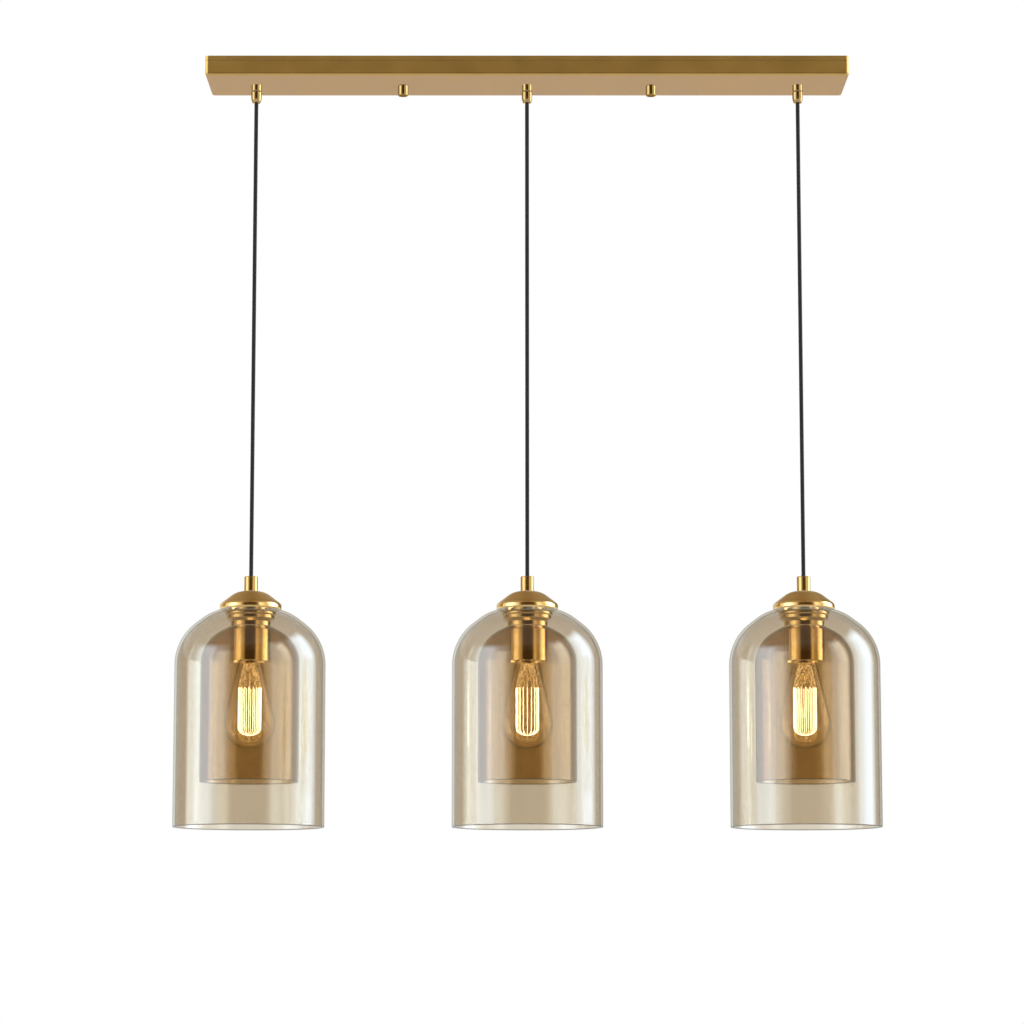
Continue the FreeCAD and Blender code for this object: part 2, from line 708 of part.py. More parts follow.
def threaded_tube():
    """The hollow tube that carries the stack, and its lock nut inside the lamp holder."""
    tube = ring(TUBE_RADIUS, TUBE_BORE_RADIUS, neck_bottom + TUBE_IN_NECK, tube_bottom)
    nut = hex_nut(LOCK_NUT_FLATS, tube_hole, tube_nut_top, tube_nut_top - LOCK_NUT_HEIGHT)
    return group([tube, nut])


def lamp_holder():
    bore = SHELL_RADIUS + HOLE_CLEARANCE
    return turned([
        (tube_hole, holder_top, 0),
        (HOLDER_RADIUS, holder_top, CUP_EDGE_RADIUS),
        (HOLDER_RADIUS, holder_bottom, CUP_EDGE_RADIUS),
        (bore, holder_bottom, 0),
        (bore, leaf_top, 0),
        (HOLDER_NUT_ROOM_RADIUS, leaf_top, 0),
        (HOLDER_NUT_ROOM_RADIUS, tube_nut_top, 0),
        (tube_hole, tube_nut_top, 0),
    ])


def holder_contacts():
    """The screw shell, and a leaf across the holder that presses on the bulb."""
    shell = ring(SHELL_RADIUS, SHELL_RADIUS - SHELL_WALL, shell_top, shell_top - SHELL_LENGTH)
    strip = Part.makeBox(
        2 * SHELL_RADIUS, LEAF_WIDTH, LEAF_THICKNESS, Vector(-SHELL_RADIUS, -LEAF_WIDTH / 2, leaf_bottom)
    )
    leaf = strip.common(cylinder(SHELL_RADIUS, leaf_top, leaf_bottom))
    return group([shell, leaf])


def bulb_contact():
    return turned([
        (0, bulb_top, 0),
        (CONTACT_RADIUS, bulb_top, CONTACT_HEIGHT / 2),
        (CONTACT_RADIUS, base_top, 0),
        (0, base_top, 0),
    ])


def bulb_base():
    """The bulb's screw cap: a coned tip, rolled rings at the thread's pitch and a plain skirt."""
    middle_radius = THREAD_CREST_RADIUS - THREAD_DEPTH / 2
    edges = []
    place = Vector(BASE_TIP_RADIUS, 0, base_top)
    following = Vector(middle_radius, 0, thread_top)
    edges.append(Part.LineSegment(place, following))
    place = following
    for half in range(2 * THREAD_TURNS):
        bulge = THREAD_DEPTH / 2 if half % 2 == 0 else -THREAD_DEPTH / 2
        following = place - Vector(0, 0, THREAD_PITCH / 2)
        middle = Vector(middle_radius + bulge, 0, place.z - THREAD_PITCH / 4)
        edges.append(Part.Arc(place, middle, following))
        place = following
    bore = middle_radius - THREAD_DEPTH / 2 - BASE_WALL
    for corner in (
        Vector(THREAD_CREST_RADIUS, 0, place.z - THREAD_DEPTH),
        Vector(THREAD_CREST_RADIUS, 0, base_bottom),
        Vector(bore, 0, base_bottom),
        Vector(bore, 0, thread_top - BASE_WALL),
        Vector(0, 0, thread_top - BASE_WALL),
        Vector(0, 0, base_top),
        Vector(BASE_TIP_RADIUS, 0, base_top),
    ):
        edges.append(Part.LineSegment(place, corner))
        place = corner
    face = Part.Face(Part.Wire([edge.toShape() for edge in edges]))
    return face.revolve(Vector(0, 0, 0), Vector(0, 0, 1), 360)


def bulb_outline(radius, neck_radius, neck_top_height, neck_round):
    """A neck, a cone and a sphere that is tangent to it, from the neck down to the tip."""
    slant = math.radians(BULB_CONE_DEG)
    cone_top = bulb_centre + (radius - neck_radius * math.cos(slant)) / math.sin(slant)
    cone_foot_radius = radius * (1 + math.sin(slant)) / math.cos(slant)
    return [
        (neck_radius, neck_top_height, 0),
        (neck_radius, cone_top, neck_round),
        (cone_foot_radius, bulb_centre - radius, radius),
        (0, bulb_centre - radius, 0),
    ]


def bulb_glass():
    outside = bulb_outline(BULB_RADIUS, BULB_NECK_RADIUS, base_bottom, BULB_NECK_ROUND)
    inside = bulb_outline(
        BULB_RADIUS - BULB_WALL, BULB_NECK_RADIUS - BULB_WALL, base_bottom, BULB_NECK_ROUND + BULB_WALL
    )
    axis_top = (0, base_bottom, 0)
    envelope = turned([axis_top] + outside).cut(turned([axis_top] + inside))
    collar_radius = THREAD_CREST_RADIUS - THREAD_DEPTH - BASE_WALL - HOLE_CLEARANCE
    collar_height = base_bottom + GLASS_IN_BASE
    seat = ring(BULB_NECK_RADIUS, collar_radius - BULB_WALL, base_bottom, base_bottom - BULB_WALL)
    collar = ring(collar_radius, collar_radius - BULB_WALL, collar_height, base_bottom - BULB_WALL)
    return envelope.multiFuse([seat, collar]).removeSplitter()


def rod(start, end, radius):
    direction = end - start
    return Part.makeCylinder(radius, direction.Length, start, direction)


def bulb_filament():
    """A glass stem and a cage of upright strands between two rings of support wires."""
    foot = base_bottom + GLASS_IN_BASE
    stem_end = foot - STEM_LENGTH
    flare_radius = STEM_FLARE_RADIUS
    stem = turned([
        (0, foot, 0),
        (flare_radius, foot, 0),
        (flare_radius, foot - STEM_POST_RADIUS, STEM_POST_RADIUS / 2),
        (STEM_POST_RADIUS, foot - 3 * STEM_POST_RADIUS, 0),
        (STEM_POST_RADIUS, stem_end, STEM_POST_RADIUS / 2),
        (0, stem_end, 0),
    ])
    cage_bottom = bulb_tip + CAGE_ABOVE_TIP
    cage_top = cage_bottom + CAGE_HEIGHT
    pieces = [rod(Vector(0, 0, stem_end + STEM_POST_RADIUS), Vector(0, 0, cage_bottom), 2 * STRAND_RADIUS)]
    for strand in range(CAGE_STRANDS):
        turn = 2 * math.pi * (strand + 0.5) / CAGE_STRANDS
        outward = Vector(math.cos(turn), math.sin(turn), 0) * CAGE_RADIUS
        top, bottom = outward + Vector(0, 0, cage_top), outward + Vector(0, 0, cage_bottom)
        pieces.append(rod(top, bottom, STRAND_RADIUS))
        for height in (cage_top - ARM_INSET, cage_bottom + ARM_INSET):
            middle = Vector(0, 0, height)
            pieces.append(rod(middle, middle + outward, STRAND_RADIUS * 0.8))
    return stem.multiFuse(pieces)


CANOPY_PIECES = {
    "canopy_shell": canopy_shell,
    "mounting_bar": mounting_bar,
    "mounting_studs": mounting_studs,
    "stud_nuts": stud_nuts,
    "ground_screw": ground_screw,
    "canopy_cap_nuts": canopy_cap_nuts,
    "grip_bodies": grip_bodies,
    "grip_caps": grip_caps,
    "grip_lock_nuts": grip_lock_nuts,
    "live_leads": lambda: leads(-1),
    "neutral_leads": lambda: leads(1),
    "terminal_block": terminal_block,
}

PENDANT_PIECES = {
    "grip_bushing": grip_bushing,
    "cord": cord,
    "neck_tube": neck_tube,
    "shade_cap": shade_cap,
    "outer_glass": outer_glass,
    "glass_gaskets": glass_gaskets,
    "glass_collar": glass_collar,
    "inner_glass": inner_glass,
    "socket_cup": socket_cup,
    "threaded_tube": threaded_tube,
    "lamp_holder": lamp_holder,
    "holder_contacts": holder_contacts,
    "bulb_contact": bulb_contact,
    "bulb_base": bulb_base,
    "bulb_glass": bulb_glass,
    "bulb_filament": bulb_filament,
}


def main():
    os.makedirs("parts", exist_ok=True)
    for name, build in CANOPY_PIECES.items():
        build().exportStep(f"parts/{name}.step")
    for name, build in PENDANT_PIECES.items():
        piece = build()
        for number, x in enumerate(row_places(), start=1):
            at(piece, x).exportStep(f"parts/{name}_{number}.step")


main()
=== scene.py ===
"""Looks of the linear island pendant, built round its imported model. Metres, +Z up."""

import json
import math

import bmesh
import bpy
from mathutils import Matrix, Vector


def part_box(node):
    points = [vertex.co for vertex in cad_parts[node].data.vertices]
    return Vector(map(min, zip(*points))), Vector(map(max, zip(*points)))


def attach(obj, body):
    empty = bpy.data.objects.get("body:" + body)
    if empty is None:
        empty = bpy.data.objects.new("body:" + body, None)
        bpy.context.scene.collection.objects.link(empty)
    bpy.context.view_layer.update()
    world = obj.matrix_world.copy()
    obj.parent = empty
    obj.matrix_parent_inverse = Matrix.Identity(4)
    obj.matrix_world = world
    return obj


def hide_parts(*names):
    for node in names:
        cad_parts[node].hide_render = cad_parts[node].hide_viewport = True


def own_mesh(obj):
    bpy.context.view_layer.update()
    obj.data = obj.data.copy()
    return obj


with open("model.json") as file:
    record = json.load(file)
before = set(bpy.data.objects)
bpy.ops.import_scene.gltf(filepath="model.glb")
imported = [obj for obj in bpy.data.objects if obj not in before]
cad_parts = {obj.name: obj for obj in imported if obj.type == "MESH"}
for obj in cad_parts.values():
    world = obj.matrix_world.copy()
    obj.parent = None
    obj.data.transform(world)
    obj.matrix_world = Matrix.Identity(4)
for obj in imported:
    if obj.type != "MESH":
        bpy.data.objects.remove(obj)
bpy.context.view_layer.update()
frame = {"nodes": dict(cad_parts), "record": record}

MM = 0.001
PENDANTS = (1, 2, 3)

# Camera: the photograph's viewpoint, in front of the row and a little below the glasses
CAMERA_X = -0.0191
CAMERA_DISTANCE = 4.0
CAMERA_BELOW_RIM = 0.16
CAMERA_PITCH_DEG = 7.88
CAMERA_LENS_MM = 113.33
CAMERA_SENSOR_MM = 36.0
CAMERA_FARTHEST = 100.0

# Room
FLOOR_BELOW_CEILING = 2.3
FLOOR_SIZE = 24.0
FLOOR_FADE_START = 2.5
FLOOR_FADE_END = 7.0
FLOOR_COLOUR = 0.86
FLOOR_UNEVENNESS = 0.01
FLOOR_GRAIN_SCALE = 3.0

# Studio light by azimuth in degrees: 0 is behind the camera, positive is to the right.
# The light changes evenly from each place to the next.
STUDIO_LIGHT = (
    (-180, (0.46, 0.41, 0.33)),
    (-150, (0.80, 0.78, 0.70)),
    (-128, (0.62, 0.52, 0.36)),
    (-110, (0.22, 0.15, 0.08)),
    (-105, (0.55, 0.44, 0.28)),
    (-101, (1.55, 1.42, 1.10)),
    (-96, (0.70, 0.65, 0.53)),
    (-90, (0.95, 0.93, 0.86)),
    (-80, (2.45, 2.50, 2.50)),
    (-60, (2.80, 2.85, 2.85)),
    (-54, (2.20, 2.22, 2.18)),
    (-50, (1.50, 1.48, 1.40)),
    (-40, (1.10, 1.04, 0.92)),
    (-30, (0.60, 0.52, 0.40)),
    (-25, (0.15, 0.10, 0.05)),
    (-18, (0.09, 0.05, 0.016)),
    (12, (0.08, 0.045, 0.014)),
    (28, (0.12, 0.08, 0.03)),
    (34, (0.55, 0.46, 0.34)),
    (40, (1.50, 1.35, 1.12)),
    (47, (1.55, 1.40, 1.18)),
    (56, (1.00, 0.88, 0.70)),
    (70, (0.75, 0.64, 0.48)),
    (80, (1.80, 1.76, 1.62)),
    (88, (3.30, 3.32, 3.28)),
    (98, (4.50, 4.65, 4.80)),
    (112, (4.70, 4.90, 5.10)),
    (120, (2.60, 2.60, 2.55)),
    (127, (0.50, 0.45, 0.36)),
    (146, (0.16, 0.13, 0.10)),
    (170, (0.42, 0.38, 0.30)),
    (180, (0.46, 0.41, 0.33)),
)
SOFTBOX_TOP_LEFT_DEG = 27.0
SOFTBOX_TOP_RIGHT_DEG = 43.0
SOFTBOX_BOTTOM_DEG = -34.0
SOFTBOX_BLUR_DEG = 9.0
CEILING_MIDDLE = (0.25, 0.17, 0.09)
CEILING_SIDES = (0.44, 0.37, 0.28)
# How far aside a direction points where the ceiling has wholly turned to its sides' colour
CEILING_SIDES_FROM = 0.6
FLOOR_LIGHT = (0.60, 0.55, 0.46)

WHITE = (1.0, 1.0, 1.0)

# The range that most of a noise's values lie in
NOISE_LOW = 0.3
NOISE_HIGH = 0.7


def rgba(colour):
    return (*colour, 1.0)


def new_tree(owner):
    owner.use_nodes = True
    owner.node_tree.nodes.clear()
    return owner.node_tree


def add(tree, kind, inputs=None, **settings):
    """A node of that kind, with its settings and its inputs: values, or sockets to link from."""
    node = tree.nodes.new("ShaderNode" + kind)
    for name, value in settings.items():
        setattr(node, name, value)
    for name, value in (inputs or {}).items():
        if isinstance(value, bpy.types.NodeSocket):
            tree.links.new(value, node.inputs[name])
        else:
            node.inputs[name].default_value = value
    return node


def math_node(tree, operation, first, second=0.0, third=0.0, clamp=False):
    inputs = {0: first, 1: second, 2: third}
    return add(tree, "Math", inputs, operation=operation, use_clamp=clamp).outputs[0]


def mixed_colour(tree, factor, first, second, blend="MIX"):
    node = add(tree, "Mix", data_type="RGBA", blend_type=blend)
    for index, value in ((0, factor), (6, first), (7, second)):
        if isinstance(value, bpy.types.NodeSocket):
            tree.links.new(value, node.inputs[index])
        else:
            node.inputs[index].default_value = value
    return node.outputs[2]


def ranged(tree, value, low, high, to_low, to_high):
    inputs = {"Value": value, "From Min": low, "From Max": high, "To Min": to_low, "To Max": to_high}
    return add(tree, "MapRange", inputs).outputs["Result"]


def separated(tree, vector):
    return add(tree, "SeparateXYZ", {0: vector}).outputs


def output(tree, surface, kind="OutputMaterial"):
    add(tree, kind, {"Surface": surface})


# World, floor and camera


def studio_colour(tree):
    """The studio seen in a direction: softboxes and dark zones round the sides, plain above and below."""
    direction = add(tree, "TexCoord").outputs["Generated"]
    x, y, z = separated(tree, direction)
    toward_camera = math_node(tree, "MULTIPLY", y, -1.0)
    azimuth = math_node(tree, "ARCTAN2", x, toward_camera)
    turn = ranged(tree, azimuth, -math.pi, math.pi, 0.0, 1.0)
    ramp = add(tree, "ValToRGB", {"Fac": turn})
    elements = ramp.color_ramp.elements
    elements[0].color = rgba(STUDIO_LIGHT[0][1])
    elements[1].color = rgba(STUDIO_LIGHT[-1][1])
    for place, colour in STUDIO_LIGHT[1:-1]:
        elements.new((place + 180) / 360).color = rgba(colour)
    elevation = math_node(tree, "ARCSINE", z)
    blur = math.radians(SOFTBOX_BLUR_DEG)
    left, right = math.radians(SOFTBOX_TOP_LEFT_DEG), math.radians(SOFTBOX_TOP_RIGHT_DEG)
    bottom = math.radians(SOFTBOX_BOTTOM_DEG)
    top = ranged(tree, azimuth, -math.pi / 2, math.pi / 2, left, right)
    over_top = math_node(tree, "SUBTRACT", elevation, top)
    above = ranged(tree, over_top, -blur / 2, blur / 2, 0.0, 1.0)
    below = ranged(tree, elevation, bottom + blur / 2, bottom - blur / 2, 0.0, 1.0)
    aside = ranged(tree, math_node(tree, "ABSOLUTE", x), 0.0, CEILING_SIDES_FROM, 0.0, 1.0)
    ceiling = mixed_colour(tree, aside, rgba(CEILING_MIDDLE), rgba(CEILING_SIDES))
    with_ceiling = mixed_colour(tree, above, ramp.outputs["Color"], ceiling)
    return mixed_colour(tree, below, with_ceiling, rgba(FLOOR_LIGHT))


def build_world():
    """White behind the object, also through the glass; the studio wherever something reflects."""
    world = bpy.data.worlds.new("studio")
    bpy.context.scene.world = world
    tree = new_tree(world)
    studio = add(tree, "Background", {"Color": studio_colour(tree)})
    seen = add(tree, "LightPath").outputs["Is Camera Ray"]
    white = add(tree, "Background", {"Color": rgba(WHITE)})
    inputs = {0: seen, 1: studio.outputs[0], 2: white.outputs[0]}
    output(tree, add(tree, "MixShader", inputs).outputs[0], "OutputWorld")


def build_floor():
    """A pale floor that fades into the white background and can be seen through from below."""
    mesh = bpy.data.meshes.new("floor")
    half = FLOOR_SIZE / 2
    corners = [(-half, -half, 0), (half, -half, 0), (half, half, 0), (-half, half, 0)]
    mesh.from_pydata(corners, [], [(0, 1, 2, 3)])
    floor = bpy.data.objects.new("floor", mesh)
    floor.location.z = -FLOOR_BELOW_CEILING
    bpy.context.scene.collection.objects.link(floor)
    material = bpy.data.materials.new("floor")
    tree = new_tree(material)
    position = add(tree, "NewGeometry").outputs
    distance = add(tree, "VectorMath", {0: position["Position"]}, operation="LENGTH").outputs["Value"]
    grain = add(tree, "TexNoise", {"Scale": FLOOR_GRAIN_SCALE, "Detail": 4.0}).outputs["Fac"]
    darkest, lightest = FLOOR_COLOUR * (1 - FLOOR_UNEVENNESS), FLOOR_COLOUR * (1 + FLOOR_UNEVENNESS)
    tone = ranged(tree, grain, NOISE_LOW, NOISE_HIGH, darkest, lightest)
    colour = add(tree, "CombineColor", {0: tone, 1: tone, 2: tone}).outputs[0]
    diffuse = add(tree, "BsdfDiffuse", {"Color": colour})
    white = add(tree, "Emission", {"Color": rgba(WHITE)})
    far = ranged(tree, distance, FLOOR_FADE_START, FLOOR_FADE_END, 0.0, 1.0)
    faded = add(tree, "MixShader", {0: far, 1: diffuse.outputs[0], 2: white.outputs[0]})
    clear = add(tree, "BsdfTransparent")
    inputs = {0: position["Backfacing"], 1: faded.outputs[0], 2: clear.outputs[0]}
    output(tree, add(tree, "MixShader", inputs).outputs[0])
    mesh.materials.append(material)


def build_camera():
    camera = bpy.data.cameras.new("camera")
    camera.lens = CAMERA_LENS_MM
    camera.sensor_width = CAMERA_SENSOR_MM
    camera.clip_end = CAMERA_FARTHEST
    holder = bpy.data.objects.new("camera", camera)
    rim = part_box("outer_glass_2")[0].z
    holder.location = (CAMERA_X, -CAMERA_DISTANCE, rim - CAMERA_BELOW_RIM)
    holder.rotation_euler = (math.radians(90 + CAMERA_PITCH_DEG), 0, 0)
    bpy.context.scene.collection.objects.link(holder)
    bpy.context.scene.camera = holder


# Materials

# Grain: the scale of its noise along each axis, and its depth
TURNED = (40, 40, 2600)
TURNED_DEPTH = 0.000002
BRUSHED_ALONG_X = (12, 2400, 2400)
BRUSHED_DEPTH = 0.000004
CAST = (700, 700, 700)
CAST_DEPTH = 0.00001
MOULDED = (900, 900, 900)
MOULDED_DEPTH = 0.00002
METAL_CLOUDS = (22, 22, 22)
MOULDED_CLOUDS = (60, 60, 60)

# Brass. The nut, neck, cap, collar and cup brasses are lighter and darker copies of the one polished brass:
# painted light and painted shade.
BRASS = (0.87, 0.66, 0.30)
# Painted shade: a darker copy of the polished brass for the cap nuts and the cord grips.
NUT_BRASS_PAINTED_SHADE = (0.46, 0.33, 0.14)
# Painted shade: a darker copy of the polished brass for the neck tube.
NECK_BRASS_PAINTED_SHADE = (0.60, 0.40, 0.15)
# Painted light: a lighter copy of the polished brass for the shade cap.
CAP_BRASS_PAINTED_LIGHT = (0.95, 0.68, 0.30)
# Painted shade: a darker copy of the polished brass for the glass collar, standing in for the shade under the
# cap.
COLLAR_BRASS_PAINTED_SHADE = (0.62, 0.42, 0.17)
# Painted light: a lighter copy of the polished brass for the socket cup, standing in for the light that the
# glasses take away.
CUP_BRASS_PAINTED_LIGHT = (0.93, 0.76, 0.43)
CUP_EDGE = (0.40, 0.25, 0.10)
CANOPY_BRASS = (0.81, 0.55, 0.17)
CANOPY_EDGE = (0.51, 0.56, 1.0)
# Painted shade: thin dark lines in the rolled groove under the ceiling and along the lower corner: height,
# half a width, share of light kept
CANOPY_PAINTED_SHADE_LINES = ((-5.85 * MM, 0.6 * MM, 0.72), (-22.7 * MM, 0.7 * MM, 0.65))
CAP_RIM_HEIGHT = 9.0 * MM
RIM_FADE = 2.0 * MM

# Glass
SHADE_TINT = (0.675, 0.605, 0.496)
SHADE_FILM = (0.84, 1.0, 1.12)
INNER_TINT = (0.62, 0.48, 0.29)
INNER_FILM = (1.0, 1.0, 0.9)
BELL_FILM_SHARE = 0.13
BELL_RIPPLE = 0.00015
BULB_TINT = (0.98, 0.965, 0.93)
STEM_TINT = (0.92, 0.86, 0.74)
SILICONE_TINT = (0.86, 0.80, 0.66)
GLASS_WAVES = (9, 9, 5)
GLASS_CLOUDS = (14, 14, 7)
GLASS_UNEVENNESS = 0.02
FILM_GROWTH = 5.0
SLANT_BLEND = 0.69
SLANT_DEPTHS = (1.38, 1.36, 1.26)
# Painted shade: a dark band this high above a glass's rim, and the share of light that it keeps.
RIM_HEIGHT = 1.3 * MM
RIM_PAINTED_SHADE = 0.45
PASSING_LIGHT = (0.985, 0.98, 0.97)

# Braid and filament
FIBRE_SCALE = 4000.0
FIBRE_SHARE = 0.15
BRAID_DEPTH = 0.0006
MIRRORED_GLOW = (4.2, 3.6, 2.4)

# The nodes that the glasses mirror, by the start of their names
MIRRORED = ("outer_glass", "inner_glass", "bulb_glass")


def object_place(tree):
    return add(tree, "TexCoord").outputs["Object"]


def stretched_noise(tree, scales, detail=3.0, roughness=0.6):
    """Noise whose grain is drawn out along the axes with a small scale."""
    place = add(tree, "Mapping", {"Vector": object_place(tree), "Scale": scales}).outputs[0]
    inputs = {"Vector": place, "Scale": 1.0, "Detail": detail, "Roughness": roughness}
    return add(tree, "TexNoise", inputs).outputs["Fac"]


def metal(name, colour, roughness, brush_scales, brush_depth, spread=0.05, patina=0.08, edge=WHITE, rim=None,
          lines=()):
    """Bare metal with a brushed or turned grain, cloudy tone and fine differences of polish.

    spread and patina are how much the polish and the tone vary, and edge is the colour at a slant.
    rim is a height and a roughness: below that height the metal is polished to that roughness.
    Each line of painted shade is a height, half a width and the share of light that the thin line there
    keeps.
    """
    material = bpy.data.materials.new(name)
    tree = new_tree(material)
    clouds = stretched_noise(tree, METAL_CLOUDS, 4.0)
    grain = stretched_noise(tree, brush_scales, 2.0)
    darker = [channel * (1 - patina) for channel in colour]
    tone = mixed_colour(tree, ranged(tree, clouds, 0.35, 0.65, 0.0, 1.0), rgba(darker), rgba(colour))
    height = separated(tree, object_place(tree))[2]
    # Painted shade: each line darkens the colour in a thin band at its height.
    for middle, half_width, kept in lines:
        inside = math_node(tree, "COMPARE", height, middle, half_width)
        tone = mixed_colour(tree, inside, tone, rgba((kept,) * 3), "MULTIPLY")
    polish = ranged(tree, clouds, NOISE_LOW, NOISE_HIGH, roughness - spread / 2, roughness + spread / 2)
    streaks = ranged(tree, grain, NOISE_LOW, NOISE_HIGH, -spread / 2, spread / 2)
    if rim:
        rim_height, rim_roughness = rim
        polished = roughness - rim_roughness
        dulled = ranged(tree, height, rim_height, rim_height + RIM_FADE, polished, 0.0)
        polish = math_node(tree, "SUBTRACT", polish, dulled)
    rough = math_node(tree, "ADD", polish, streaks, clamp=True)
    bump = add(tree, "Bump", {"Height": grain, "Strength": 1.0, "Distance": brush_depth})
    inputs = {"Base Color": tone, "Metallic": 1.0, "Roughness": rough, "Normal": bump.outputs[0]}
    shader = add(tree, "BsdfPrincipled", inputs)
    shader.inputs["Specular Tint"].default_value = rgba(edge)
    output(tree, shader.outputs[0])
    return material


def moulded(name, colour, roughness):
    """Plastic, rubber or phenolic: even colour with a fine moulded grain."""
    material = bpy.data.materials.new(name)
    tree = new_tree(material)
    grain = stretched_noise(tree, MOULDED, 2.0)
    clouds = stretched_noise(tree, MOULDED_CLOUDS, 3.0)
    lighter = [min(channel * 1.15 + 0.004, 1.0) for channel in colour]
    tone = mixed_colour(tree, clouds, rgba(colour), rgba(lighter))
    rough = ranged(tree, clouds, NOISE_LOW, NOISE_HIGH, roughness - 0.05, roughness + 0.05)
    bump = add(tree, "Bump", {"Height": grain, "Strength": 1.0, "Distance": MOULDED_DEPTH})
    shader = add(tree, "BsdfPrincipled", {"Base Color": tone, "Roughness": rough, "Normal": bump.outputs[0]})
    output(tree, shader.outputs[0])
    return material


def thin_glass(name, tint, film, film_colour=WHITE, roughness=0.03, ripple=0.0, foot=None,
               outline=(0.8, 0.6), edge_film=0.8):
    """A glass wall, seen as one layer: tinted, deeper at a slant, under a mirror film that grows to the edge.

    The outside of a wall carries the whole effect, and the inside lets everything pass. Light on its way
    to what is inside passes almost whole. film and edge_film are the film's shares face on and at the
    edge. outline is where the outline begins to darken and the share of light that it keeps. A glass
    with a foot height gets painted shade there: a dark band just above its rim.
    """
    material = bpy.data.materials.new(name)
    tree = new_tree(material)
    waves = stretched_noise(tree, GLASS_WAVES, 2.0, 0.4)
    bump = add(tree, "Bump", {"Height": waves, "Strength": 1.0, "Distance": ripple}).outputs[0]
    geometry = add(tree, "NewGeometry").outputs
    slant = add(tree, "LayerWeight", {"Blend": SLANT_BLEND}).outputs["Facing"]
    straight = [channel / (1 - film) for channel in tint]
    slanted = [channel ** depth / (1 - film) for channel, depth in zip(tint, SLANT_DEPTHS)]
    tone = mixed_colour(tree, slant, rgba(straight), rgba(slanted))
    facing = add(tree, "LayerWeight", {"Blend": 0.5, "Normal": bump}).outputs["Facing"]
    edge = ranged(tree, facing, outline[0], 1.0, 1.0, outline[1])
    clouds = stretched_noise(tree, GLASS_CLOUDS, 3.0)
    uneven = ranged(tree, clouds, NOISE_LOW, NOISE_HIGH, 1 - GLASS_UNEVENNESS, 1 + GLASS_UNEVENNESS)
    shade = math_node(tree, "MULTIPLY", edge, uneven)
    # Painted shade: a dark band just above the rim.
    if foot is not None:
        height = separated(tree, object_place(tree))[2]
        rim = math_node(tree, "LESS_THAN", height, foot + RIM_HEIGHT)
        shade = math_node(tree, "MULTIPLY", shade, ranged(tree, rim, 0.0, 1.0, 1.0, RIM_PAINTED_SHADE))
    scaled = add(tree, "VectorMath", {0: tone, 3: shade}, operation="SCALE").outputs[0]
    clear = add(tree, "BsdfTransparent", {"Color": scaled})
    inputs = {"Color": rgba(film_colour), "Roughness": roughness, "Normal": bump}
    mirror = add(tree, "BsdfAnisotropic", inputs)
    growth = math_node(tree, "POWER", facing, FILM_GROWTH)
    share = ranged(tree, growth, 0.0, 1.0, film, edge_film)
    wall = add(tree, "MixShader", {0: share, 1: clear.outputs[0], 2: mirror.outputs[0]}).outputs[0]
    inside = add(tree, "BsdfTransparent")
    inputs = {0: geometry["Backfacing"], 1: wall, 2: inside.outputs[0]}
    seen = add(tree, "MixShader", inputs).outputs[0]
    passing = add(tree, "BsdfTransparent", {"Color": rgba(PASSING_LIGHT)})
    inputs = {0: add(tree, "LightPath").outputs["Is Camera Ray"], 1: passing.outputs[0], 2: seen}
    output(tree, add(tree, "MixShader", inputs).outputs[0])
    return material


def braided(name, colour):
    """A woven sleeve: two sets of yarns that cross at a slant, drawn on the piece's UV map in yarn widths."""
    material = bpy.data.materials.new(name)
    tree = new_tree(material)
    around, along, _ = separated(tree, add(tree, "TexCoord").outputs["UV"])
    yarns = []
    for slant in (1, -1):
        shifted = math_node(tree, "MULTIPLY_ADD", along, float(slant), around)
        yarns.append(math_node(tree, "PINGPONG", shifted, 0.5))
    over = math_node(tree, "MULTIPLY", yarns[0], yarns[1])
    fibres = add(tree, "TexNoise", {"Vector": object_place(tree), "Scale": FIBRE_SCALE}).outputs["Fac"]
    height = math_node(tree, "MULTIPLY_ADD", fibres, FIBRE_SHARE, over)
    bump = add(tree, "Bump", {"Height": height, "Strength": 1.0, "Distance": BRAID_DEPTH}).outputs[0]
    # Painted shade and painted highlight: the braid is darker in the hollows between the yarns and lighter on
    # their crests.
    lighter = [channel * 2.2 + 0.01 for channel in colour]
    tone = mixed_colour(tree, ranged(tree, over, 0.0, 0.25, 0.0, 1.0), rgba(colour), rgba(lighter))
    shader = add(tree, "BsdfPrincipled", {"Base Color": tone, "Roughness": 0.72, "Normal": bump})
    shader.inputs["Sheen Weight"].default_value = 0.25
    shader.inputs["Sheen Roughness"].default_value = 0.4
    output(tree, shader.outputs[0])
    return material


def glowing(name, colour, weakest, strongest, scales):
    """A glowing wire: the hot filament, or a support wire whose glow is painted light from the filament. Its
    brightness varies along the strand, and its reflections are softer and warmer.
    """
    material = bpy.data.materials.new(name)
    tree = new_tree(material)
    heat = stretched_noise(tree, scales, 2.0)
    power = ranged(tree, heat, 0.4, 0.6, weakest, strongest)
    hot = add(tree, "Emission", {"Color": rgba(colour), "Strength": power}).outputs[0]
    mirrored = add(tree, "Emission", {"Color": rgba(MIRRORED_GLOW), "Strength": 1.0}).outputs[0]
    inputs = {0: add(tree, "LightPath").outputs["Is Camera Ray"], 1: mirrored, 2: hot}
    output(tree, add(tree, "MixShader", inputs).outputs[0])
    return material


